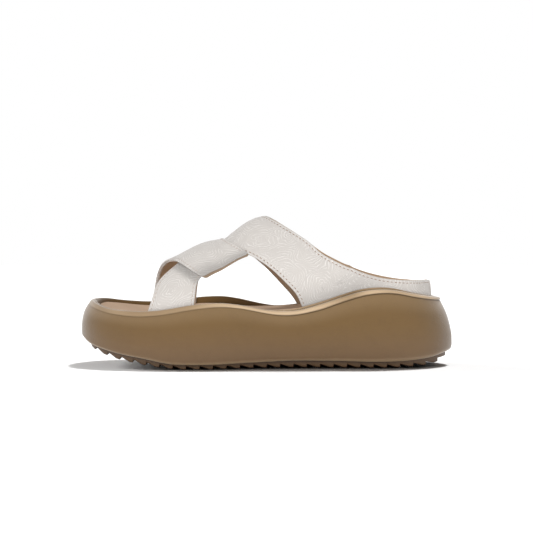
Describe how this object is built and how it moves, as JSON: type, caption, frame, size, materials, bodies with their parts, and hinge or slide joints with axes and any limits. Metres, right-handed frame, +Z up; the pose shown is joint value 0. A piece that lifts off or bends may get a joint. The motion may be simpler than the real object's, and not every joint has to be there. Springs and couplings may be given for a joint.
{
  "type": "platform sandal",
  "caption": "Platform slide sandal: thick moulded sole with a wavy rim, saw-tooth rubber outsole, padded insole and crossing leather straps with a closed heel band.",
  "frame": {"origin": "on the floor, at the middle of the sole's box in plan", "axes": "-X to the toe, +X to the heel, -Y to the outer (lateral) side, +Y to the inner (medial) side, +Z up"},
  "size_m": [0.2628, 0.1008, 0.1055],
  "materials": {
    "outsole": "matte dark brown",
    "platform": "matte tan moulded foam, paler at the lip",
    "insole": "matte pale tan",
    "upper": "soft sheen off-white with tone-on-tone rosettes"
  },
  "bodies": {
    "root": {"outsole": "outsole", "platform": "platform", "insole": "insole", "upper": "upper"}
  },
  "joints": []
}
